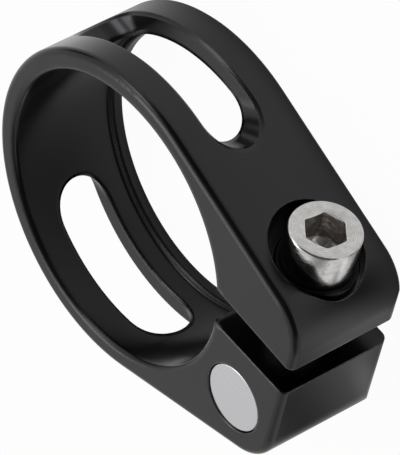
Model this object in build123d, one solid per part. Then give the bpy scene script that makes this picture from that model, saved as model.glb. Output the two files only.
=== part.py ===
from build123d import *
import math
import os

# Bolt-on seatpost clamp for a bicycle frame, in millimetres.
# The bore's axis is Z and the lip face lies at z = 0.
# X runs from the bore to the ears, and Y runs along the bolt, towards its head.

# Ring
tube_diameter = 31.8          # seat tube that the ring closes on
tube_clearance = 0.1          # radial, with the ring relaxed
ring_wall = 2.3
ring_height = 13.7
lip_thickness = 1.3           # rim that stops the ring on the end of the tube
lip_reach = 0.65              # how far that rim stands in from the bore
band_edge_radius = 0.8        # rounding of the outer edges round the mouth's side
lip_side_chamfer = 0.3        # of the outer edges round the lip's side
mouth_edge_chamfer = 0.3      # round the bore's mouth
lip_edge_chamfer = 0.2        # round the lip, inside the bore

# Ears
flat_slope = 18.2             # degrees between each side flat and X
ear_end = 6.0                 # bolt's axis to the ears' end faces
ear_corner_radius = 5.3       # between a side flat and an end face
ear_end_radius = 1.1          # of the end faces' edges on the lip's side

# Slit between the ears
slit_offset = 1.0             # bore axis to the lower ear's slit face
slit_width = 3.9              # at the bolt
slit_taper = 3.0              # degrees that the slit narrows outwards, drawn in by the bolt

# Window slots, one in each side of the band
slot_width = 6.2
slot_middle = 103.7           # degrees from X to the middle of a slot
slot_half_span = 37.7         # degrees from there to a slot's end, at the bore
slot_flare = 37.0             # degrees that a slot's end leans out from the radius
slot_end_flat = 0.006         # left at the middle of a slot's rounded end
slot_cutter_heel = 0.3        # flat behind the cutter's rounded edges, inside the bore
slot_edge_chamfer = 0.3       # round the outer rim

# Bolt
thread_diameter = 5.0
bolt_length = 20.0            # under the head
bolt_reach = 20.95            # bore axis to the bolt's axis
head_diameter = 7.5
head_height = 4.6
head_edge_chamfer = 0.3
hex_across_flats = 4.0
hex_depth = 3.3
hex_turn = 24.0               # degrees, as the bolt stands
hex_lead_in = 0.3             # how far the socket's mouth opens past its corners
hex_lead_in_angle = 20.0      # degrees that the mouth slopes down
drill_point_angle = 120.0     # of the socket's conical bottom
bolt_tip_chamfer = 0.6
bolt_hole_clearance = 0.65    # radial, so that the bolt can tilt as the ears close
bolt_tip_room = 0.8           # hole left below the bolt's tip

# Washer under the head
washer_diameter = 8.5
washer_thickness = 1.0
washer_clearance = 0.15       # radial, round the bolt
washer_edge_chamfer = 0.15    # on its upper side, where the punch rolled the edge over
seat_depth = 2.35             # below the upper ear's flat, at the bolt's axis
seat_offset = 0.45            # counterbore and hole stand this much nearer to the bore than the bolt
seat_clearance = 0.75         # radial, from the washer to the counterbore
seat_gap = 0.12               # under the washer
head_gap = 0.02               # between washer and head

# Barrel nut
nut_diameter = 7.5
nut_drop = 5.85               # bore axis down to the nut's axis
nut_clearance = 0.05          # radial, in its bore
nut_recess = 0.1              # below each of the ring's flat sides
nut_edge_chamfer = 0.15
thread_clearance = 0.03       # radial, between the bolt and the nut's cross hole

# Sizes that follow
bore_radius = tube_diameter / 2 + tube_clearance
ring_radius = bore_radius + ring_wall
lip_radius = bore_radius - lip_reach
ear_reach = bolt_reach + ear_end
middle_z = ring_height / 2
slope = math.radians(flat_slope)
flat_y_at_bolt = (ring_radius - bolt_reach * math.sin(slope)) / math.cos(slope)
seat_y = flat_y_at_bolt - seat_depth
washer_y = seat_y + seat_gap
head_y = washer_y + washer_thickness + head_gap
bolt_tip_y = head_y - bolt_length
nut_y = -nut_drop
hole_reach = bolt_reach - seat_offset
seat_radius = washer_diameter / 2 + seat_clearance
beyond = ring_radius          # how far a cut runs past what it cuts
near = 0.05                   # within which an edge counts as lying on a surface
on_foot = (Align.CENTER, Align.CENTER, Align.MIN)
hung = (Align.CENTER, Align.CENTER, Align.MAX)


def along_bolt(y, reach=bolt_reach):
    """Stand a piece that was made along Z up along Y, with its foot at y."""
    return Pos(reach, y, middle_z) * Rot(-90, 0, 0)


def ear_outline():
    """Side view of the ring and its ears: an arc, two tangent flats and rounded corners."""
    tangent_x = ring_radius * math.sin(slope)
    tangent_y = ring_radius * math.cos(slope)
    corner_y = (ring_radius - ear_reach * math.sin(slope)) / math.cos(slope)
    flats = Polyline(
        (tangent_x, tangent_y),
        (ear_reach, corner_y),
        (ear_reach, -corner_y),
        (tangent_x, -tangent_y),
    )
    back = ThreePointArc((tangent_x, -tangent_y), (-ring_radius, 0), (tangent_x, tangent_y))
    face = make_face([*flats.edges(), back])
    corners = face.vertices().filter_by_position(Axis.X, ear_reach - near, ear_reach + near)
    return fillet(corners, ear_corner_radius)


def slot_cutter():
    """Cutter of one window slot, with full-round ends that lean outwards."""
    half_span = math.radians(slot_half_span)
    flare = math.radians(slot_flare)
    lean = half_span + flare
    end_x = bore_radius * math.sin(half_span)
    end_y = bore_radius * math.cos(half_span)
    outward = 2 * ring_wall / math.cos(flare)
    heel_step = slot_width / 2 + slot_cutter_heel
    inner = (end_x - slot_width * math.sin(lean), end_y - slot_width * math.cos(lean))
    outer = (end_x + outward * math.sin(lean), end_y + outward * math.cos(lean))
    heel = (inner[0] - heel_step * math.cos(lean), inner[1] + heel_step * math.sin(lean))
    right = [heel, inner, outer, (outer[0], ring_radius + beyond)]
    left = [(-x, y) for x, y in reversed(right)]
    prism = extrude(make_face(Polyline(*right, *left, close=True)), slot_width / 2, both=True)
    leaning = [Axis((0, 0, 0), (side * math.sin(lean), math.cos(lean), 0)) for side in (1, -1)]
    end_edges = [edge for axis in leaning for edge in prism.edges().filter_by(axis)]
    rounded = fillet(end_edges, (slot_width - slot_end_flat) / 2)
    return Pos(0, 0, middle_z) * Rot(0, 0, slot_middle - 90) * rounded


def highest_rim(band, radius):
    """Round edge of that radius that lies furthest from the lip face."""
    circles = band.edges().filter_by(GeomType.CIRCLE)
    rims = ShapeList([edge for edge in circles if abs(edge.radius - radius) < near])
    return rims.sort_by(Axis.Z)[-1]


def slot_rims(band):
    """Edges in which the window slots break through the outside of the band."""
    lowest = band_edge_radius + near
    highest = ring_height - lowest
    front = ear_reach - ear_corner_radius

    def on_outside(point):
        return lowest < point.Z < highest and math.hypot(point.X, point.Y) > ring_radius - near

    def is_rim(edge):
        points = [edge.position_at(share) for share in (0.1, 0.5, 0.9)]
        return edge.center().X < front and all(on_outside(point) for point in points)

    return [edge for edge in band.edges() if is_rim(edge)]


def end_edge_cutter():
    """Offcut that leaves the ears' end edges rounded on the lip's side."""
    size = 2 * ear_end_radius
    block = Pos(ear_reach, 0, 0) * Box(size, 2 * beyond, size)
    bar = Rot(90, 0, 0) * Cylinder(ear_end_radius, 2 * beyond)
    return block - Pos(ear_reach - ear_end_radius, 0, ear_end_radius) * bar


def slit_cutter():
    """Wedge between the ears, flat on the lower ear and leaning on the upper one."""
    taper = math.tan(math.radians(slit_taper))
    near_x = bore_radius / 2
    far_x = ear_reach + beyond
    upper_y = slit_offset + slit_width

    def upper(x):
        return upper_y - (x - bolt_reach) * taper

    wedge = Polyline(
        (near_x, slit_offset),
        (far_x, slit_offset),
        (far_x, upper(far_x)),
        (near_x, upper(near_x)),
        close=True,
    )
    return extrude(make_face(wedge), ring_height)


def clamp_ring():
    """The ring, with its lip, window slots, ears, slit and bolt holes, as one piece."""
    band = extrude(ear_outline(), ring_height)
    band = fillet(band.faces().sort_by(Axis.Z)[-1].edges(), band_edge_radius)
    band = chamfer(band.faces().sort_by(Axis.Z)[0].edges(), lip_side_chamfer)
    band -= end_edge_cutter()

    bore = Pos(0, 0, lip_thickness) * Cylinder(bore_radius, ring_height, align=on_foot)
    lip_hole = Cylinder(lip_radius, ring_height, align=on_foot)
    band -= bore + lip_hole
    band = chamfer(highest_rim(band, bore_radius), mouth_edge_chamfer)
    band = chamfer(highest_rim(band, lip_radius), lip_edge_chamfer)

    slot = slot_cutter()
    band = band - slot - mirror(slot, Plane.XZ)
    band = chamfer(slot_rims(band), slot_edge_chamfer)
    band -= slit_cutter()

    nut_bore = Cylinder(nut_diameter / 2 + nut_clearance, ring_height, align=on_foot)
    band -= Pos(bolt_reach, nut_y, 0) * nut_bore

    hole_depth = seat_y - bolt_tip_y + bolt_tip_room
    hole = Cylinder(thread_diameter / 2 + bolt_hole_clearance, hole_depth, align=on_foot)
    band -= along_bolt(bolt_tip_y - bolt_tip_room, hole_reach) * hole
    seat = Cylinder(seat_radius, beyond, align=on_foot)
    band -= along_bolt(seat_y, hole_reach) * seat
    return band


def clamp_bolt():
    """Socket head cap screw, from its tip up, with a plain shank of the thread's outer size."""
    shank = Cylinder(thread_diameter / 2, bolt_length, align=on_foot)
    shank = chamfer(shank.edges().sort_by(Axis.Z)[0], bolt_tip_chamfer)
    head = Cylinder(head_diameter / 2, head_height, align=on_foot)
    head = chamfer(head.edges().sort_by(Axis.Z)[-1], head_edge_chamfer)
    bolt = shank + Pos(0, 0, bolt_length) * head

    top_z = bolt_length + head_height
    corner_radius = hex_across_flats / math.sqrt(3)
    hexagon = RegularPolygon(corner_radius, 6, rotation=hex_turn)
    socket = extrude(Pos(0, 0, top_z - hex_depth) * hexagon, hex_depth)
    point_depth = hex_across_flats / 2 / math.tan(math.radians(drill_point_angle / 2))
    point = Cone(0, hex_across_flats / 2, point_depth, align=hung)
    mouth_radius = corner_radius + hex_lead_in
    mouth_depth = mouth_radius * math.tan(math.radians(hex_lead_in_angle))
    mouth = Cone(0, mouth_radius, mouth_depth, align=hung)
    bolt -= socket
    bolt -= Pos(0, 0, top_z - hex_depth) * point
    bolt -= Pos(0, 0, top_z) * mouth
    return along_bolt(bolt_tip_y) * bolt


def head_washer():
    """Flat washer between the bolt's head and the counterbore's floor."""
    disc = Cylinder(washer_diameter / 2, washer_thickness, align=on_foot)
    disc = chamfer(disc.edges().sort_by(Axis.Z)[-1], washer_edge_chamfer)
    hole = Cylinder(thread_diameter / 2 + washer_clearance, washer_thickness, align=on_foot)
    return along_bolt(washer_y) * (disc - hole)


def barrel_nut():
    """Cylinder across the lower ear, with a cross hole for the bolt."""
    length = ring_height - 2 * nut_recess
    barrel = Cylinder(nut_diameter / 2, length)
    barrel = chamfer(barrel.edges().filter_by(GeomType.CIRCLE), nut_edge_chamfer)
    nut = Pos(bolt_reach, nut_y, middle_z) * barrel
    hole = Cylinder(thread_diameter / 2 + thread_clearance, 2 * nut_diameter)
    return nut - along_bolt(nut_y) * hole


os.makedirs("parts", exist_ok=True)
export_step(clamp_ring(), "parts/clamp_ring.step")
export_step(clamp_bolt(), "parts/clamp_bolt.step")
export_step(head_washer(), "parts/head_washer.step")
export_step(barrel_nut(), "parts/barrel_nut.step")
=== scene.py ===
"""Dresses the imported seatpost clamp: anodised ring, threaded bolt, washer and barrel nut."""
import logging
import math
from dataclasses import dataclass
from enum import Enum

import bmesh
import bpy
from mathutils import Matrix, Vector


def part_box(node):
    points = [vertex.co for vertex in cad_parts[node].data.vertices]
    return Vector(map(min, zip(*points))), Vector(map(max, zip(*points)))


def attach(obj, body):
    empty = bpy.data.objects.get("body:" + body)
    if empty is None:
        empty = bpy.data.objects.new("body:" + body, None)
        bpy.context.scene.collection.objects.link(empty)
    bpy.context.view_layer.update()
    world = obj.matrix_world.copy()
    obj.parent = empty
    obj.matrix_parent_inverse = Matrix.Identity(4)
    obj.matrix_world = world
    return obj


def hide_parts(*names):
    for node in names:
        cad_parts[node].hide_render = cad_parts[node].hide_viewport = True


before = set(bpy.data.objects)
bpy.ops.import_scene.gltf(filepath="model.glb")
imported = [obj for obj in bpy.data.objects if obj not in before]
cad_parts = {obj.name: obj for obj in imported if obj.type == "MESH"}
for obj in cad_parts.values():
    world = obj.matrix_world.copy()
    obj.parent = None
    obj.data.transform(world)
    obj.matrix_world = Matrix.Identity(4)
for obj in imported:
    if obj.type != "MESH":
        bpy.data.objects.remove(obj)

LOG = logging.getLogger("seatpost_clamp")
MM = 0.001
WAVE_FACTOR = 20  # by which Blender's wave texture multiplies its scale
NOISE_RANGE = (0.3, 0.7)  # in which nearly all values of a noise texture lie
SPOT_RANGE = (0.35, 0.6)  # part of that range over which a spot fades in
EDGE_REACH = 1.4  # from an edge to where its rounding ends, in radii of the rounding
EDGE_OPEN = 0.08  # share of open space inside the metal at which an edge is fully rounded
WEAR_AND_HIGHLIGHT_OPEN = 0.5  # the same where an edge is fully rubbed and carries its full painted highlight
SPOT_WIDTHS = 4  # width of a rubbed spot with its painted highlight, in widths of that line
FACED_FROM = 0.9  # cosine to the axis from which a face counts as faced
STREAK_STRETCH = 0.04  # width of a streak as a share of its length
PAINTED_SHADE_EDGE_MM = 0.1  # over which the painted shade ends at its recess' wall
PAINTED_SHADE_FADE_MM = 0.5  # over which the painted shade deepens below its recess' top
TURNED_FADE_MM = 0.3  # over which the turned edges give way to the others
FINE_SAMPLES = 16  # rays for a wide rounding
SAMPLES = 8  # rays for a narrow rounding, or to feel for an edge


class Node(Enum):
    """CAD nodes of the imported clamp."""

    RING = "clamp_ring"
    BOLT = "clamp_bolt"
    WASHER = "head_washer"
    NUT = "barrel_nut"


class Body(Enum):
    """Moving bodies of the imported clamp."""

    BOLT = "bolt"


class Slot(Enum):
    """Material slots of the record."""

    BOLT = "stainless_bolt"


class Along(Enum):
    """Axis of the frame that a turned piece lies along."""

    X = "X"
    Y = "Y"
    Z = "Z"


def linear(hex_colour: str) -> tuple[float, float, float, float]:
    """Turn an sRGB hex colour into linear light.

    Args:
        hex_colour: Colour as six hex digits after a hash.

    Returns:
        Red, green and blue in linear light, and an alpha of 1.
    """
    channels = [int(hex_colour[at:at + 2], 16) / 255 for at in (1, 3, 5)]
    light = [c / 12.92 if c <= 0.04045 else ((c + 0.055) / 1.055) ** 2.4 for c in channels]
    return (light[0], light[1], light[2], 1.0)


def per_metre(size_mm: float) -> float:
    """Scale of a noise texture whose features are about that many millimetres wide."""
    return 1.0 / (size_mm * MM)


def ring_scale(pitch_mm: float) -> float:
    """Scale of a wave texture whose crests stand that many millimetres apart."""
    return 2 * math.pi / (WAVE_FACTOR * pitch_mm * MM)


def add_node(
    tree: bpy.types.NodeTree,
    kind: str,
    inputs: dict[str | int, object] | None = None,
    **settings: object,
) -> bpy.types.Node:
    """Add one node with its settings, its values and its incoming links.

    Args:
        tree: Node tree that takes the node.
        kind: Blender's name for the type of node.
        inputs: A value, or an output socket to link from, for each input by name or number.
        settings: Properties of the node itself.

    Returns:
        The new node.
    """
    node = tree.nodes.new(kind)
    for name, value in settings.items():
        setattr(node, name, value)
    for key, value in (inputs or {}).items():
        if isinstance(value, bpy.types.NodeSocket):
            tree.links.new(value, node.inputs[key])
        else:
            node.inputs[key].default_value = value
    return node


@dataclass(frozen=True)
class Axis:
    """A straight axis that turned marks run round.

    Attributes:
        through: A point on the axis, in metres.
        along: Axis of the frame that it is parallel to.
    """

    through: tuple[float, float, float]
    along: Along

    def stretch(self, share: float) -> tuple[float, float, float]:
        """Factors that draw a pattern out along the axis."""
        return tuple(share if way is self.along else 1.0 for way in Along)


@dataclass(frozen=True)
class Finish:
    """What every metal finish of the clamp has.

    Attributes:
        name: Material and process.
        colour: sRGB colour of the metal as it reflects.
        roughness: Mean roughness.
        roughness_spread: How far mottling moves the roughness, either way.
        mottle_mm: Width of the patches in the finish.
        grain_mm: Width of the finest grain, drawn coarser than the real one so that it shows.
        grain_height_mm: Height of that grain.
        edge_mm: Radius of the broken edges.
        wear_and_highlight_colour: sRGB colour of those edges where they are rubbed, which also paints a
            highlight along them.
        edge_wear_and_highlight: Share of that colour, of wear and painted highlight, on a sharp edge.
        wear_and_highlight_mm: Width of the rubbed and highlit line, and of the spots that break it up.
    """

    name: str
    colour: str
    roughness: float
    roughness_spread: float
    mottle_mm: float
    grain_mm: float
    grain_height_mm: float
    edge_mm: float
    wear_and_highlight_colour: str
    edge_wear_and_highlight: float
    wear_and_highlight_mm: float

    def material(self) -> bpy.types.Material:
        """Make the material.

        Returns:
            A node material with this finish.
        """
        material = bpy.data.materials.new(self.name)
        material.use_nodes = True
        tree = material.node_tree
        tree.nodes.clear()
        shader = add_node(tree, "ShaderNodeBsdfPrincipled", {"Metallic": 1.0})
        add_node(tree, "ShaderNodeOutputMaterial", {"Surface": shader.outputs[0]})
        place = add_node(tree, "ShaderNodeTexCoord").outputs["Object"]
        mottle = add_node(
            tree,
            "ShaderNodeTexNoise",
            {"Vector": place, "Scale": per_metre(self.mottle_mm), "Detail": 3.0},
        )
        rough = add_node(
            tree,
            "ShaderNodeMapRange",
            {
                "Value": mottle.outputs[0],
                "From Min": NOISE_RANGE[0],
                "From Max": NOISE_RANGE[1],
                "To Min": self.roughness - self.roughness_spread,
                "To Max": self.roughness + self.roughness_spread,
            },
        )
        tree.links.new(rough.outputs[0], shader.inputs["Roughness"])
        grain = add_node(
            tree,
            "ShaderNodeTexNoise",
            {"Vector": place, "Scale": per_metre(self.grain_mm), "Detail": 1.0},
        )
        bump = add_node(
            tree,
            "ShaderNodeBump",
            {
                "Strength": 1.0,
                "Distance": self.grain_height_mm * MM,
                "Height": grain.outputs[0],
                "Normal": self.broken_edges(tree),
            },
        )
        tree.links.new(bump.outputs[0], shader.inputs["Normal"])
        colour = self.tint(tree, shader, place, mottle.outputs[0], bump)
        # Rubbed edges, in a lighter colour that also paints a highlight along them.
        worn_and_highlit = add_node(
            tree,
            "ShaderNodeMix",
            {0: self.rubbed_and_highlit_edges(tree, place), 6: colour, 7: linear(self.wear_and_highlight_colour)},
            data_type="RGBA",
        )
        tree.links.new(worn_and_highlit.outputs[2], shader.inputs["Base Color"])
        return material

    def outward_edges(self, tree: bpy.types.NodeTree, reach_mm: float, full: float) -> bpy.types.NodeSocket:
        """Find the edges that stand out, and not the corners that lie in.

        Args:
            tree: The material's nodes.
            reach_mm: How far from an edge still counts.
            full: Share of open space round a point inside the metal from which it counts fully.

        Returns:
            1 on an outward edge and 0 away from it.
        """
        metal = add_node(
            tree,
            "ShaderNodeAmbientOcclusion",
            {"Distance": reach_mm * MM},
            samples=SAMPLES,
            inside=True,
            only_local=True,
        )
        return add_node(
            tree,
            "ShaderNodeMapRange",
            {"Value": metal.outputs["AO"], "From Min": 1.0, "From Max": 1.0 - full},
        ).outputs[0]

    def broken_edges(self, tree: bpy.types.NodeTree) -> bpy.types.NodeSocket:
        """Round the outward edges and leave inward corners sharp.

        Args:
            tree: The material's nodes.

        Returns:
            The surface's normal.
        """
        face = add_node(tree, "ShaderNodeNewGeometry")
        edge = add_node(tree, "ShaderNodeBevel", {"Radius": self.edge_mm * MM}, samples=SAMPLES)
        outward = self.outward_edges(tree, EDGE_REACH * self.edge_mm, EDGE_OPEN)
        return add_node(
            tree,
            "ShaderNodeMix",
            {0: outward, 4: face.outputs["Normal"], 5: edge.outputs[0]},
            data_type="VECTOR",
        ).outputs[1]

    def rubbed_and_highlit_edges(
        self,
        tree: bpy.types.NodeTree,
        place: bpy.types.NodeSocket,
    ) -> bpy.types.NodeSocket:
        """Rub the outward edges in spots, and paint a highlight along them there.

        Args:
            tree: The material's nodes.
            place: Coordinates in metres.

        Returns:
            Share of the colour of wear and painted highlight.
        """
        outward = self.outward_edges(tree, self.wear_and_highlight_mm, WEAR_AND_HIGHLIGHT_OPEN)
        spots = add_node(
            tree,
            "ShaderNodeTexNoise",
            {"Vector": place, "Scale": per_metre(SPOT_WIDTHS * self.wear_and_highlight_mm), "Detail": 2.0},
        )
        share = add_node(
            tree,
            "ShaderNodeMapRange",
            {
                "Value": spots.outputs[0],
                "From Min": SPOT_RANGE[0],
                "From Max": SPOT_RANGE[1],
                "To Max": self.edge_wear_and_highlight,
            },
        )
        return add_node(
            tree,
            "ShaderNodeMath",
            {0: outward, 1: share.outputs[0]},
            operation="MULTIPLY",
        ).outputs[0]

    def tint(
        self,
        tree: bpy.types.NodeTree,
        shader: bpy.types.Node,
        place: bpy.types.NodeSocket,
        mottle: bpy.types.NodeSocket,
        bump: bpy.types.Node,
    ) -> bpy.types.NodeSocket:
        """Give the finish its colour, and what else only this finish shows.

        Args:
            tree: The material's nodes.
            shader: Its principled shader.
            place: Coordinates in metres.
            mottle: Patches from 0 to 1.
            bump: The last bump before the shader.

        Returns:
            The colour away from the rubbed edges and their painted highlight.
        """
        raise NotImplementedError


@dataclass(frozen=True)
class BlackAnodisedAluminium(Finish):
    """Turned and milled aluminium, blasted fine and anodised black.

    The dyed oxide gives a neutral near-black with a satin gloss that brightens to grey at a
    glancing angle. The dye is a little thinner in patches, edges wear through to grey first and
    that grey is drawn lighter as a painted highlight along them, and a turning tool has left the
    edges and the lip's corner in the bore rounder than the others.

    Attributes:
        thin_colour: sRGB colour where the dye is thin.
        turned_mm: Radius, from the Z axis, up to which the turning tool went.
        turned_edge_mm: Radius of the edges and corners that it left.
    """

    thin_colour: str
    turned_mm: float
    turned_edge_mm: float

    def broken_edges(self, tree: bpy.types.NodeTree) -> bpy.types.NodeSocket:
        """Round the edges and corners in the bore more than the others.

        Args:
            tree: The material's nodes.

        Returns:
            The surface's normal.
        """
        place = add_node(tree, "ShaderNodeTexCoord").outputs["Object"]
        flat = add_node(
            tree,
            "ShaderNodeVectorMath",
            {0: place, 1: (1.0, 1.0, 0.0)},
            operation="MULTIPLY",
        )
        radius = add_node(
            tree,
            "ShaderNodeVectorMath",
            {0: flat.outputs[0]},
            operation="LENGTH",
        )
        turned = add_node(
            tree,
            "ShaderNodeMapRange",
            {
                "Value": radius.outputs["Value"],
                "From Min": (self.turned_mm + TURNED_FADE_MM) * MM,
                "From Max": self.turned_mm * MM,
            },
        )
        edge = add_node(
            tree,
            "ShaderNodeBevel",
            {"Radius": self.turned_edge_mm * MM},
            samples=FINE_SAMPLES,
        )
        return add_node(
            tree,
            "ShaderNodeMix",
            {0: turned.outputs[0], 4: super().broken_edges(tree), 5: edge.outputs[0]},
            data_type="VECTOR",
        ).outputs[1]

    def tint(
        self,
        tree: bpy.types.NodeTree,
        shader: bpy.types.Node,
        place: bpy.types.NodeSocket,
        mottle: bpy.types.NodeSocket,
        bump: bpy.types.Node,
    ) -> bpy.types.NodeSocket:
        """Mottle the dye.

        Args:
            tree: The material's nodes.
            shader: Its principled shader. Not used here.
            place: Coordinates in metres. Not used here.
            mottle: Patches from 0 to 1.
            bump: The last bump before the shader. Not used here.

        Returns:
            The colour away from the rubbed edges and their painted highlight.
        """
        return add_node(
            tree,
            "ShaderNodeMix",
            {0: mottle, 6: linear(self.colour), 7: linear(self.thin_colour)},
            data_type="RGBA",
        ).outputs[2]


@dataclass(frozen=True)
class Recess:
    """A round recess in a turned end, painted darker inside as its shade.

    Attributes:
        radius_mm: From the axis.
        top: Place along the axis where it begins, in metres from the axis' point.
        colour: sRGB colour of the painted shade.
        roughness: What the painted shade adds to the roughness.
        faintest_shade: Share of the painted shade between its blotches.
    """

    radius_mm: float
    top: float
    colour: str
    roughness: float
    faintest_shade: float


@dataclass(frozen=True)
class TurnedSteel(Finish):
    """Bare steel, drawn along its sides and faced with rings on its ends.

    The metal is bright and slightly warm or neutral. Its sides mirror the surroundings in long
    streaks, its faced ends are duller with turned rings, and a recess is painted darker as its shade.

    Attributes:
        axis: Axis of the rings and the streaks.
        ring_mm: Spacing of the rings, drawn coarser than a lathe cuts them so that they show.
        ring_height_mm: Height of the rings.
        ring_shade: How far the rings, and not the patches, shade a faced end.
        streak_mm: Width of the streaks.
        streak_height_mm: Height of the streaks.
        faced_roughness: What a faced end adds to the roughness of the sides.
        shade_colour: sRGB colour of the duller patches.
        recess: Recess in the end, if it has one.
    """

    axis: Axis
    ring_mm: float
    ring_height_mm: float
    ring_shade: float
    streak_mm: float
    streak_height_mm: float
    faced_roughness: float
    shade_colour: str
    recess: Recess | None = None

    def tint(
        self,
        tree: bpy.types.NodeTree,
        shader: bpy.types.Node,
        place: bpy.types.NodeSocket,
        mottle: bpy.types.NodeSocket,
        bump: bpy.types.Node,
    ) -> bpy.types.NodeSocket:
        """Add the marks, the patches and the painted shade in the recess.

        Args:
            tree: The material's nodes.
            shader: Its principled shader.
            place: Coordinates in metres.
            mottle: Patches from 0 to 1.
            bump: The last bump before the shader.

        Returns:
            The colour away from the rubbed edges and their painted highlight.
        """
        centred = add_node(
            tree,
            "ShaderNodeVectorMath",
            {0: place, 1: self.axis.through},
            operation="SUBTRACT",
        ).outputs[0]
        faced = self.faced(tree)
        rings = self.rings(tree, centred)
        marked = self.marks(tree, centred, faced, rings, bump)
        tree.links.new(marked, shader.inputs["Normal"])
        drawn = shader.inputs["Roughness"].links[0].from_socket
        rough = add_node(
            tree,
            "ShaderNodeMath",
            {0: faced, 1: self.faced_roughness, 2: drawn},
            operation="MULTIPLY_ADD",
        ).outputs[0]
        ringed = add_node(
            tree,
            "ShaderNodeMath",
            {0: faced, 1: self.ring_shade},
            operation="MULTIPLY",
        )
        shade = add_node(
            tree,
            "ShaderNodeMix",
            {0: ringed.outputs[0], 2: mottle, 3: rings},
            data_type="FLOAT",
        )
        colour = add_node(
            tree,
            "ShaderNodeMix",
            {0: shade.outputs[0], 6: linear(self.colour), 7: linear(self.shade_colour)},
            data_type="RGBA",
        ).outputs[2]
        if self.recess:
            painted_recess_shade = self.painted_recess_shade(tree, centred, mottle)
            rough = add_node(
                tree,
                "ShaderNodeMath",
                {0: painted_recess_shade, 1: self.recess.roughness, 2: rough},
                operation="MULTIPLY_ADD",
            ).outputs[0]
            colour = add_node(
                tree,
                "ShaderNodeMix",
                {0: painted_recess_shade, 6: colour, 7: linear(self.recess.colour)},
                data_type="RGBA",
            ).outputs[2]
        tree.links.new(rough, shader.inputs["Roughness"])
        return colour

    def faced(self, tree: bpy.types.NodeTree) -> bpy.types.NodeSocket:
        """Tell the faced ends from the sides.

        Args:
            tree: The material's nodes.

        Returns:
            1 on a face square to the axis and 0 on the sides.
        """
        face = add_node(tree, "ShaderNodeNewGeometry")
        normal = add_node(tree, "ShaderNodeSeparateXYZ", {0: face.outputs["Normal"]})
        square = add_node(
            tree,
            "ShaderNodeMath",
            {0: normal.outputs[self.axis.along.value]},
            operation="ABSOLUTE",
        )
        return add_node(
            tree,
            "ShaderNodeMapRange",
            {"Value": square.outputs[0], "From Min": FACED_FROM, "From Max": 1.0},
        ).outputs[0]

    def rings(self, tree: bpy.types.NodeTree, centred: bpy.types.NodeSocket) -> bpy.types.NodeSocket:
        """Draw the rings that a turning tool leaves.

        Args:
            tree: The material's nodes.
            centred: Coordinates from the axis' point.

        Returns:
            Height of the rings, from 0 to 1.
        """
        return add_node(
            tree,
            "ShaderNodeTexWave",
            {
                "Vector": centred,
                "Scale": ring_scale(self.ring_mm),
                "Distortion": 5.0,
                "Detail": 3.0,
                "Detail Scale": 1.5,
            },
            wave_type="RINGS",
            rings_direction=self.axis.along.value,
        ).outputs[1]

    def marks(
        self,
        tree: bpy.types.NodeTree,
        centred: bpy.types.NodeSocket,
        faced: bpy.types.NodeSocket,
        rings: bpy.types.NodeSocket,
        bump: bpy.types.Node,
    ) -> bpy.types.NodeSocket:
        """Cut the rings into the ends and draw streaks along the sides.

        Args:
            tree: The material's nodes.
            centred: Coordinates from the axis' point.
            faced: 1 on the ends and 0 on the sides.
            rings: Height of the rings.
            bump: The bump that lies under the marks.

        Returns:
            The marked surface's normal.
        """
        turned = add_node(
            tree,
            "ShaderNodeBump",
            {
                "Strength": faced,
                "Distance": self.ring_height_mm * MM,
                "Height": rings,
                "Normal": bump.outputs[0],
            },
        )
        long = add_node(
            tree,
            "ShaderNodeVectorMath",
            {0: centred, 1: self.axis.stretch(STREAK_STRETCH)},
            operation="MULTIPLY",
        )
        streaks = add_node(
            tree,
            "ShaderNodeTexNoise",
            {"Vector": long.outputs[0], "Scale": per_metre(self.streak_mm), "Detail": 2.0},
        )
        side = add_node(tree, "ShaderNodeMath", {0: 1.0, 1: faced}, operation="SUBTRACT")
        drawn = add_node(
            tree,
            "ShaderNodeBump",
            {
                "Strength": side.outputs[0],
                "Distance": self.streak_height_mm * MM,
                "Height": streaks.outputs[0],
                "Normal": turned.outputs[0],
            },
        )
        return drawn.outputs[0]

    def painted_recess_shade(
        self,
        tree: bpy.types.NodeTree,
        centred: bpy.types.NodeSocket,
        mottle: bpy.types.NodeSocket,
    ) -> bpy.types.NodeSocket:
        """Show where the painted shade in the recess lies.

        Args:
            tree: The material's nodes.
            centred: Coordinates from the axis' point.
            mottle: Patches from 0 to 1.

        Returns:
            Share of the painted shade, up to 1 in the recess and 0 outside it.
        """
        flat = add_node(
            tree,
            "ShaderNodeVectorMath",
            {0: centred, 1: self.axis.stretch(0.0)},
            operation="MULTIPLY",
        )
        radius = add_node(
            tree,
            "ShaderNodeVectorMath",
            {0: flat.outputs[0]},
            operation="LENGTH",
        )
        inside = add_node(
            tree,
            "ShaderNodeMapRange",
            {
                "Value": radius.outputs["Value"],
                "From Min": self.recess.radius_mm * MM,
                "From Max": (self.recess.radius_mm - PAINTED_SHADE_EDGE_MM) * MM,
            },
        )
        parts = add_node(tree, "ShaderNodeSeparateXYZ", {0: centred})
        below = add_node(
            tree,
            "ShaderNodeMapRange",
            {
                "Value": parts.outputs[self.axis.along.value],
                "From Min": self.recess.top,
                "From Max": self.recess.top - PAINTED_SHADE_FADE_MM * MM,
            },
        )
        lying = add_node(
            tree,
            "ShaderNodeMath",
            {0: inside.outputs[0], 1: below.outputs[0]},
            operation="MULTIPLY",
        )
        blotched = add_node(
            tree,
            "ShaderNodeMapRange",
            {
                "Value": mottle,
                "From Min": SPOT_RANGE[0],
                "From Max": SPOT_RANGE[1],
                "To Min": self.recess.faintest_shade,
            },
        )
        return add_node(
            tree,
            "ShaderNodeMath",
            {0: lying.outputs[0], 1: blotched.outputs[0]},
            operation="MULTIPLY",
        ).outputs[0]


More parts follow.
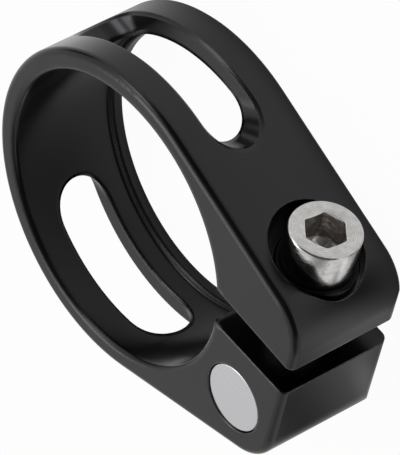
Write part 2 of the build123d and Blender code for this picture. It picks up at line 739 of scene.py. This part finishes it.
def dress(node: Node, finish: Finish) -> None:
    """Give a CAD node's own object a finish.

    Args:
        node: The CAD node.
        finish: The finish of its whole surface.
    """
    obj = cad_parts[node.value]
    obj.data.materials.clear()
    obj.data.materials.append(finish.material())
    LOG.info("%s: %s", node.value, finish.name)


@dataclass
class ClampRing:
    """The ring with its ears, shown by its CAD solid.

    Attributes:
        finish: Finish of the whole piece.
    """

    # Dyed oxide on finely blasted metal: neutral black, satin, with soft dark reflections.
    finish: BlackAnodisedAluminium = BlackAnodisedAluminium(
        name="black_anodised_aluminium",
        colour="#3a3a3c",
        roughness=0.23,
        roughness_spread=0.03,
        mottle_mm=5.0,
        grain_mm=0.12,
        grain_height_mm=0.004,
        edge_mm=0.3,
        # Grey of edges worn through the dye, drawn lighter as a painted highlight along them.
        wear_and_highlight_colour="#747475",
        edge_wear_and_highlight=0.65,
        wear_and_highlight_mm=0.12,
        thin_colour="#3f3f40",
        turned_mm=17.0,
        turned_edge_mm=0.8,
    )

    def build(self) -> None:
        """Dress the CAD node."""
        dress(Node.RING, self.finish)


@dataclass
class ClampBolt:
    """Socket head cap screw with its thread, made along Y from its tip.

    Attributes:
        pitch: Travel of the thread in one turn, in mm, as the rest of these sizes.
        thread_depth: Crest to root.
        plain_length: Shank without thread under the head.
        thread_diameter: Over the crests.
        length: Under the head.
        tip_chamfer: Of the thread's first turn.
        edge_radius: Rounding of the head's top edge.
        foot_radius: Rounding of the head's lower edge.
        hex_across_flats: Of the socket.
        hex_depth: Of the socket.
        hex_turn: Degrees that the socket is turned, as the bolt stands.
        lead_in: How far the socket's mouth opens past its corners.
        lead_in_angle: Degrees that the mouth slopes down.
        drill_point_angle: Degrees of the socket's conical bottom.
        corner_wear: How far the key has rounded the socket's corners.
        painted_shade_start: Where the painted shade in the socket begins, below the head's top.
        painted_shade_radius: How far from the axis the painted shade reaches.
        bottom_share: Radius of the socket's conical bottom, as a share of that inside the flats.
        thread_profile: Share of the pitch, and of the depth, at each corner of the thread's outline.
        steps: Points round the axis, a multiple of the socket's corners.
        edge_steps: Faces across the rounding of the head's top edge.
        sharp_angle: Degrees between two faces from which their edge shows sharp.
        merge: Distance under which two points are one.
    """

    pitch: float = 0.8
    thread_depth: float = 0.45
    plain_length: float = 1.0
    thread_diameter: float = 5.0
    length: float = 20.0
    tip_chamfer: float = 0.6
    edge_radius: float = 0.24
    foot_radius: float = 0.2
    hex_across_flats: float = 4.0
    hex_depth: float = 3.3
    hex_turn: float = 24.0
    lead_in: float = 0.3
    lead_in_angle: float = 20.0
    drill_point_angle: float = 120.0
    corner_wear: float = 0.04
    # Painted shade inside the socket: where it begins and how far it reaches.
    painted_shade_start: float = 0.15
    painted_shade_radius: float = 2.5
    bottom_share: float = 0.98
    thread_profile: tuple[tuple[float, float], ...] = ((0.0, 0.0), (0.125, 0.0), (0.4375, 1.0), (0.6875, 1.0))
    steps: int = 96
    edge_steps: int = 6
    sharp_angle: float = 28.0
    merge: float = 0.0001

    def __post_init__(self) -> None:
        """Read the bolt's place and head from its CAD node."""
        low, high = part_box(Node.BOLT.value)
        middle = (low + high) / 2
        self.head_radius = (high.z - low.z) / 2 / MM
        self.total = (high.y - low.y) / MM
        self.foot = Vector((middle.x, low.y, middle.z))
        self.top = high.y

    def finish(self) -> TurnedSteel:
        """Stainless steel, cold headed and left bare.

        Returns:
            A bright, slightly warm finish that is scuffed on the head's top, with painted shade in the socket
            and a painted highlight on its rubbed edges.
        """
        # Drawn wire upset into a head: mirror-like streaked sides and a duller, ringed top.
        return TurnedSteel(
            name="cold_headed_stainless_steel",
            colour="#f2f0ee",
            roughness=0.16,
            roughness_spread=0.04,
            mottle_mm=0.6,
            grain_mm=0.22,
            grain_height_mm=0.008,
            edge_mm=0.06,
            # Rubbed edges, nearly white, painted brighter than the steel as the highlight round the head's
            # rim.
            wear_and_highlight_colour="#fbf9f7",
            edge_wear_and_highlight=0.9,
            wear_and_highlight_mm=0.2,
            axis=Axis(through=tuple(self.foot), along=Along.Y),
            ring_mm=0.22,
            ring_height_mm=0.006,
            ring_shade=0.3,
            streak_mm=0.12,
            streak_height_mm=0.006,
            faced_roughness=0.08,
            shade_colour="#b6b4b2",
            # Painted shade in the socket, darker deeper in and blotched.
            recess=Recess(
                radius_mm=self.painted_shade_radius,
                top=(self.total - self.painted_shade_start) * MM,
                colour="#b3aba5",
                roughness=0.4,
                faintest_shade=0.15,
            ),
        )

    def angles(self) -> list[float]:
        """Angles of the points round the axis, with one on each corner of the socket."""
        start = math.radians(self.hex_turn)
        return [start + 2 * math.pi * step / self.steps for step in range(self.steps)]

    def point(self, radius: float, angle: float, height: float) -> Vector:
        """Place a point of the bolt in the frame.

        Args:
            radius: From the bolt's axis, in mm.
            angle: Round the axis, in radians.
            height: From the tip, in mm.

        Returns:
            The point in metres.
        """
        local = Vector((radius * math.cos(angle), height, -radius * math.sin(angle)))
        return self.foot + local * MM

    def hex_radius(self, angle: float) -> float:
        """Find the socket's wall, with its corners rounded by wear.

        Args:
            angle: Round the axis, in radians.

        Returns:
            The wall's distance from the axis, in mm.
        """
        sixth = math.pi / 3
        from_flat = (angle - math.radians(self.hex_turn)) % sixth - sixth / 2
        corner = self.hex_across_flats / math.sqrt(3)
        return min(self.hex_across_flats / 2 / math.cos(from_flat), corner - self.corner_wear)

    def thread_radius(self, share: float, height: float) -> float:
        """Radius of the thread's surface.

        Args:
            share: Depth as a share of the whole thread, 0 on the crest and 1 in the root.
            height: From the tip, in mm.

        Returns:
            The radius in mm, less at the tip's chamfer and full where the thread runs out.
        """
        crest = self.thread_diameter / 2
        left = (self.length - self.plain_length - height) / self.pitch
        depth = share * self.thread_depth * min(max(left, 0.0), 1.0)
        return min(crest - depth, crest - self.tip_chamfer + height)

    def add_thread(self, mesh: bmesh.types.BMesh) -> None:
        """Wind the thread from the tip to the head as one helical strip.

        Args:
            mesh: Mesh that takes the faces.
        """
        turns = math.ceil(self.length / self.pitch)
        angles = [*self.angles(), self.angles()[0] + 2 * math.pi]
        before = None
        for turn in range(-1, turns + 1):
            for start, share in self.thread_profile:
                row = []
                for step, angle in enumerate(angles):
                    wound = (turn + start + step / self.steps) * self.pitch
                    height = min(max(wound, 0.0), self.length)
                    row.append(mesh.verts.new(self.point(self.thread_radius(share, height), angle, height)))
                if before:
                    for at in range(self.steps):
                        mesh.faces.new((before[at], before[at + 1], row[at + 1], row[at]))
                before = row

    def head_rings(self) -> list[list[tuple[float, float]]]:
        """Outline of the head and its socket, ring by ring.

        Returns:
            For each ring, the radius and height in mm at each angle, from the shank to the socket's bottom.
        """
        quarter = [math.pi / 2 * step / self.edge_steps for step in range(self.edge_steps + 1)]
        foot = self.foot_radius
        edge = self.edge_radius
        outline = [(self.thread_diameter / 2, self.length)]
        for turn in quarter[::2]:
            outline.append((
                self.head_radius - foot + foot * math.sin(turn),
                self.length + foot - foot * math.cos(turn),
            ))
        for turn in quarter:
            outline.append((
                self.head_radius - edge + edge * math.cos(turn),
                self.total - edge + edge * math.sin(turn),
            ))
        mouth = self.hex_across_flats / math.sqrt(3) + self.lead_in
        outline.append((mouth, self.total))
        rings = [[(radius, height)] * self.steps for radius, height in outline]
        slope = math.tan(math.radians(self.lead_in_angle))
        walls = [self.hex_radius(angle) for angle in self.angles()]
        rings.append([(radius, self.total - (mouth - radius) * slope) for radius in walls])
        bottom = self.total - self.hex_depth
        rings.append([(radius, bottom) for radius in walls])
        rings.append([(self.hex_across_flats / 2 * self.bottom_share, bottom)] * self.steps)
        return rings

    def add_head(self, mesh: bmesh.types.BMesh) -> None:
        """Skin the head and close the socket's bottom with its drill point.

        Args:
            mesh: Mesh that takes the faces.
        """
        angles = self.angles()
        before = None
        for ring in self.head_rings():
            row = [
                mesh.verts.new(self.point(radius, angle, height))
                for (radius, height), angle in zip(ring, angles)
            ]
            if before:
                for at in range(self.steps):
                    after = (at + 1) % self.steps
                    mesh.faces.new((before[at], before[after], row[after], row[at]))
            before = row
        depth = self.hex_across_flats / 2 / math.tan(math.radians(self.drill_point_angle / 2))
        apex = mesh.verts.new(self.point(0.0, 0.0, self.total - self.hex_depth - depth))
        for at in range(self.steps):
            mesh.faces.new((before[at], before[(at + 1) % self.steps], apex))

    def close_tip(self, mesh: bmesh.types.BMesh) -> None:
        """Close the flat end of the tip.

        Args:
            mesh: Mesh whose only open ring is the tip's.
        """
        open_edges = [edge for edge in mesh.edges if len(edge.link_faces) == 1]
        bmesh.ops.contextual_create(mesh, geom=open_edges)

    def build(self) -> None:
        """Make the bolt, dress it and hang it on its body in place of the CAD node."""
        mesh = bmesh.new()
        self.add_thread(mesh)
        self.add_head(mesh)
        bmesh.ops.remove_doubles(mesh, verts=mesh.verts, dist=self.merge * MM)
        bmesh.ops.dissolve_degenerate(mesh, edges=mesh.edges, dist=self.merge * MM)
        self.close_tip(mesh)
        bmesh.ops.recalc_face_normals(mesh, faces=mesh.faces)
        data = bpy.data.meshes.new("clamp_bolt_threaded")
        mesh.to_mesh(data)
        mesh.free()
        data.polygons.foreach_set("use_smooth", [True] * len(data.polygons))
        data.set_sharp_from_angle(angle=math.radians(self.sharp_angle))
        bolt = bpy.data.objects.new("clamp_bolt_threaded", data)
        bpy.context.scene.collection.objects.link(bolt)
        bolt.data.materials.append(self.finish().material())
        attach(bolt, Body.BOLT.value)
        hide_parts(Node.BOLT.value)
        LOG.info("%s: %d faces", bolt.name, len(data.polygons))


@dataclass
class HeadWasher:
    """Stamped washer under the bolt's head, shown by its CAD solid."""

    def finish(self) -> TurnedSteel:
        """Stamped steel, blackened in an oxide bath.

        Returns:
            A black finish that keeps the gloss of the sheet, with rubbed grey spots on its edges that also
            paint the glint of its rim.
        """
        low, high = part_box(Node.WASHER.value)
        # Oxide on rolled sheet: nearly black with a dull gloss, and grey where edges are rubbed, drawn as a
        # painted glint on the rim.
        return TurnedSteel(
            name="black_oxide_stamped_steel",
            colour="#1b1b1d",
            roughness=0.35,
            roughness_spread=0.05,
            mottle_mm=0.9,
            grain_mm=0.15,
            grain_height_mm=0.004,
            edge_mm=0.08,
            # Rubbed spots on the rim, grey, also painted as its glint.
            wear_and_highlight_colour="#7a7a7c",
            edge_wear_and_highlight=0.6,
            wear_and_highlight_mm=0.1,
            axis=Axis(through=tuple((low + high) / 2), along=Along.Y),
            ring_mm=0.35,
            ring_height_mm=0.0005,
            ring_shade=0.2,
            streak_mm=0.2,
            streak_height_mm=0.002,
            faced_roughness=0.1,
            shade_colour="#171719",
        )

    def build(self) -> None:
        """Dress the CAD node."""
        dress(Node.WASHER, self.finish())


@dataclass
class BarrelNut:
    """Barrel nut across the lower ear, shown by its CAD solid."""

    def finish(self) -> TurnedSteel:
        """Stainless steel bar with its ends faced on a lathe.

        Returns:
            A neutral, even finish with faint rings.
        """
        low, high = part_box(Node.NUT.value)
        # A faced bar end: even light grey with faint rings, and a painted highlight on its rubbed rim.
        return TurnedSteel(
            name="lathe_faced_stainless_steel",
            colour="#d6d6d8",
            roughness=0.16,
            roughness_spread=0.04,
            mottle_mm=1.2,
            grain_mm=0.15,
            grain_height_mm=0.002,
            edge_mm=0.2,
            # Rubbed rim, painted nearly white as its highlight.
            wear_and_highlight_colour="#f4f4f4",
            edge_wear_and_highlight=0.8,
            wear_and_highlight_mm=0.15,
            axis=Axis(through=tuple((low + high) / 2), along=Along.Z),
            ring_mm=0.3,
            ring_height_mm=0.002,
            ring_shade=0.3,
            streak_mm=0.2,
            streak_height_mm=0.002,
            faced_roughness=0.1,
            shade_colour="#c6c6c8",
        )

    def build(self) -> None:
        """Dress the CAD node."""
        dress(Node.NUT, self.finish())


@dataclass(frozen=True)
class SoftBox:
    """A soft square lamp.

    Attributes:
        name: Name of the lamp.
        place_mm: Its middle.
        size_mm: Its width and height.
        radiance: How bright its face is, where 1 is as bright as white paper in the picture.
    """

    name: str
    place_mm: tuple[float, float, float]
    size_mm: tuple[float, float]
    radiance: float

    def build(self, aim: Vector) -> None:
        """Hang the lamp and turn it to a point.

        Args:
            aim: Point that it faces, in metres.
        """
        lamp = bpy.data.lights.new(self.name, "AREA")
        lamp.shape = "RECTANGLE"
        lamp.size, lamp.size_y = (size * MM for size in self.size_mm)
        lamp.energy = self.radiance * math.pi * lamp.size * lamp.size_y
        holder = bpy.data.objects.new(self.name, lamp)
        bpy.context.scene.collection.objects.link(holder)
        holder.location = Vector(self.place_mm) * MM
        holder.rotation_mode = "QUATERNION"
        holder.rotation_quaternion = (aim - holder.location).to_track_quat("-Z", "Y")
        holder.visible_camera = False


@dataclass(frozen=True)
class PaperPatch:
    """A soft round patch of light or shade on the paper, as the clamp mirrors it.

    Attributes:
        place_mm: Its middle on the floor.
        reach_mm: From the middle to where it has faded out.
        gain: Brightness at the middle, as a share of that of the plain paper.
    """

    place_mm: tuple[float, float]
    reach_mm: float
    gain: float


@dataclass(frozen=True)
class DarkSide:
    """A side of the surroundings that has no white cloth, as the clamp mirrors it.

    Attributes:
        direction: From the clamp, of length 1.
        fade: Cosines of the angles from that direction where the dark begins and where it is full.
        light: Brightness in it, as a share of that of the cloth.
    """

    direction: tuple[float, float, float]
    fade: tuple[float, float]
    light: float


@dataclass
class Studio:
    """White paper floor, soft lamps and a camera as the photograph was taken.

    Attributes:
        floor_mm: Side of the paper.
        floor_gap_mm: Below the clamp.
        paper: sRGB colour of the paper.
        white_share: How much of the floor is plain white to the camera, over its shadow.
        mirrored_share: The same in a reflection.
        mirrored_paper: Brightness of the paper in a reflection.
        contact_mm: How far the clamp shades the paper round its foot, in a reflection.
        patches: Light and shade on the paper, in a reflection.
        ambient: Light from all round, where 1 is white.
        mirrored_light: Brightness of the surroundings in a reflection.
        dark_sides: The camera's side, the gap where the paper comes in, and the right.
        camera_mm: Place of the camera.
        aim_mm: Point in the middle of the picture.
        up: Direction of the picture's upper edge.
        lens_mm: Focal length on a sensor of that width.
        sensor_mm: Longer side of the sensor.
        clip_m: Nearest and farthest that the camera sees, in metres.
        lamps: The soft lamps.
    """

    floor_mm: float = 6000.0
    floor_gap_mm: float = 0.02
    paper: str = "#f2f2f1"
    white_share: float = 0.96
    mirrored_share: float = 0.7
    mirrored_paper: float = 0.84
    contact_mm: float = 3.0
    patches: tuple[PaperPatch, ...] = (
        PaperPatch((34.0, 15.0), 13.0, 0.0),
        PaperPatch((36.0, -21.0), 23.0, 0.0),
        PaperPatch((41.0, 2.0), 14.0, 1.5),
        PaperPatch((27.0, -7.0), 4.5, 2.2),
        PaperPatch((-31.0, 7.0), 20.0, 1.6),
        PaperPatch((3.0, -3.0), 24.0, 0.2),
        PaperPatch((35.0, 85.0), 70.0, 0.0),
    )
    ambient: float = 0.55
    mirrored_light: float = 0.95
    dark_sides: tuple[DarkSide, ...] = (
        DarkSide((0.5517, 0.7523, 0.3600), (0.42, 0.65), 0.1),
        DarkSide((-0.9880, 0.1300, 0.0830), (0.955, 0.985), 0.1),
        DarkSide((0.6600, -0.4080, 0.6310), (0.86, 0.96), 0.3),
    )
    camera_mm: tuple[float, float, float] = (223.38, 375.14, 263.10)
    aim_mm: tuple[float, float, float] = (5.18, -0.21, 6.46)
    up: tuple[float, float, float] = (-0.6571, 0.6467, -0.3872)
    lens_mm: float = 400.2
    sensor_mm: float = 36.0
    clip_m: tuple[float, float] = (0.01, 20.0)
    lamps: tuple[SoftBox, ...] = (
        SoftBox("overhead_softbox", (-170.0, -40.0, 420.0), (200.0, 200.0), 1.9),
        SoftBox("side_softbox", (-300.0, 300.0, 430.0), (200.0, 200.0), 2.2),
        SoftBox("rear_softbox", (-200.0, -200.0, 375.0), (160.0, 160.0), 2.0),
    )

    def paper_material(self) -> bpy.types.Material:
        """Paper that takes a soft shadow and is white to the camera.

        Returns:
            The floor's material.
        """
        # Uncoated paper off a roll: matt white, with the clamp's soft shadow on it.
        material = bpy.data.materials.new("matt_white_paper")
        material.use_nodes = True
        tree = material.node_tree
        tree.nodes.clear()
        matt = add_node(tree, "ShaderNodeBsdfDiffuse", {"Color": linear(self.paper)})
        ray = add_node(tree, "ShaderNodeLightPath")
        place = add_node(tree, "ShaderNodeTexCoord").outputs["Object"]
        room = add_node(
            tree,
            "ShaderNodeAmbientOcclusion",
            {"Distance": self.contact_mm * MM},
            samples=SAMPLES,
        )
        paper = add_node(
            tree,
            "ShaderNodeMath",
            {0: room.outputs["AO"], 1: self.mirrored_paper},
            operation="MULTIPLY",
        ).outputs[0]
        for patch in self.patches:
            away = add_node(
                tree,
                "ShaderNodeVectorMath",
                {0: place, 1: Vector((*patch.place_mm, 0.0)) * MM},
                operation="DISTANCE",
            )
            gain = add_node(
                tree,
                "ShaderNodeMapRange",
                {"Value": away.outputs["Value"], "From Max": patch.reach_mm * MM, "To Min": patch.gain},
                interpolation_type="SMOOTHSTEP",
            )
            paper = add_node(
                tree,
                "ShaderNodeMath",
                {0: gain.outputs[0], 1: paper},
                operation="MULTIPLY",
            ).outputs[0]
        bright = add_node(
            tree,
            "ShaderNodeMix",
            {0: ray.outputs["Is Camera Ray"], 2: paper, 3: 1.0},
            data_type="FLOAT",
        )
        white = add_node(tree, "ShaderNodeEmission", {"Strength": bright.outputs[0]})
        mirrored = add_node(
            tree,
            "ShaderNodeMath",
            {0: ray.outputs["Is Glossy Ray"], 1: self.mirrored_share},
            operation="MULTIPLY",
        )
        share = add_node(
            tree,
            "ShaderNodeMath",
            {0: ray.outputs["Is Camera Ray"], 1: self.white_share, 2: mirrored.outputs[0]},
            operation="MULTIPLY_ADD",
        )
        mixed = add_node(
            tree,
            "ShaderNodeMixShader",
            {0: share.outputs[0], 1: matt.outputs[0], 2: white.outputs[0]},
        )
        add_node(tree, "ShaderNodeOutputMaterial", {"Surface": mixed.outputs[0]})
        return material

    def lay_floor(self) -> None:
        """Lay the paper under the clamp."""
        half = self.floor_mm * MM / 2
        level = -self.floor_gap_mm * MM
        corners = [(-half, -half, level), (half, -half, level), (half, half, level), (-half, half, level)]
        data = bpy.data.meshes.new("studio_floor")
        data.from_pydata(corners, [], [(0, 1, 2, 3)])
        floor = bpy.data.objects.new("studio_floor", data)
        bpy.context.scene.collection.objects.link(floor)
        data.materials.append(self.paper_material())

    def light_surroundings(self) -> None:
        """Make the surroundings white to the camera and in reflections, but for the dark sides."""
        world = bpy.data.worlds.new("studio_surroundings")
        world.use_nodes = True
        bpy.context.scene.world = world
        tree = world.node_tree
        tree.nodes.clear()
        ray = add_node(tree, "ShaderNodeLightPath")
        way = add_node(tree, "ShaderNodeTexCoord").outputs["Generated"]
        mirrored = self.mirrored_light
        for side in self.dark_sides:
            facing = add_node(
                tree,
                "ShaderNodeVectorMath",
                {0: way, 1: side.direction},
                operation="DOT_PRODUCT",
            )
            share = add_node(
                tree,
                "ShaderNodeMapRange",
                {
                    "Value": facing.outputs["Value"],
                    "From Min": side.fade[0],
                    "From Max": side.fade[1],
                    "To Min": 1.0,
                    "To Max": side.light,
                },
            )
            mirrored = add_node(
                tree,
                "ShaderNodeMath",
                {0: share.outputs[0], 1: mirrored},
                operation="MULTIPLY",
            ).outputs[0]
        soft = add_node(
            tree,
            "ShaderNodeMix",
            {0: ray.outputs["Is Glossy Ray"], 2: self.ambient, 3: mirrored},
            data_type="FLOAT",
        )
        seen = add_node(
            tree,
            "ShaderNodeMath",
            {0: ray.outputs["Is Camera Ray"], 1: ray.outputs["Is Transmission Ray"]},
            operation="MAXIMUM",
        )
        strength = add_node(
            tree,
            "ShaderNodeMix",
            {0: seen.outputs[0], 2: soft.outputs[0], 3: 1.0},
            data_type="FLOAT",
        )
        sky = add_node(tree, "ShaderNodeBackground", {"Strength": strength.outputs[0]})
        add_node(tree, "ShaderNodeOutputWorld", {"Surface": sky.outputs[0]})

    def stand_camera(self) -> None:
        """Stand the camera where the photograph was taken."""
        data = bpy.data.cameras.new("photo_camera")
        data.lens = self.lens_mm
        data.sensor_width = self.sensor_mm
        data.clip_start, data.clip_end = self.clip_m
        camera = bpy.data.objects.new("photo_camera", data)
        bpy.context.scene.collection.objects.link(camera)
        place = Vector(self.camera_mm)
        back = (place - Vector(self.aim_mm)).normalized()
        right = Vector(self.up).cross(back).normalized()
        turn = Matrix((right, back.cross(right), back)).transposed()
        camera.matrix_world = Matrix.Translation(place * MM) @ turn.to_4x4()
        bpy.context.scene.camera = camera

    def build(self) -> None:
        """Set up floor, light and camera."""
        self.lay_floor()
        self.light_surroundings()
        for lamp in self.lamps:
            lamp.build(Vector(self.aim_mm) * MM)
        self.stand_camera()
        bpy.context.scene.view_settings.view_transform = "Standard"
        LOG.info("studio: %d lamps", len(self.lamps))


def main() -> None:
    """Build the clamp's pieces and the studio, and report each of them."""
    logging.basicConfig(level=logging.INFO, format="%(message)s")
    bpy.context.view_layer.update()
    ClampRing().build()
    ClampBolt().build()
    HeadWasher().build()
    BarrelNut().build()
    Studio().build()


if __name__ == "__main__":
    main()
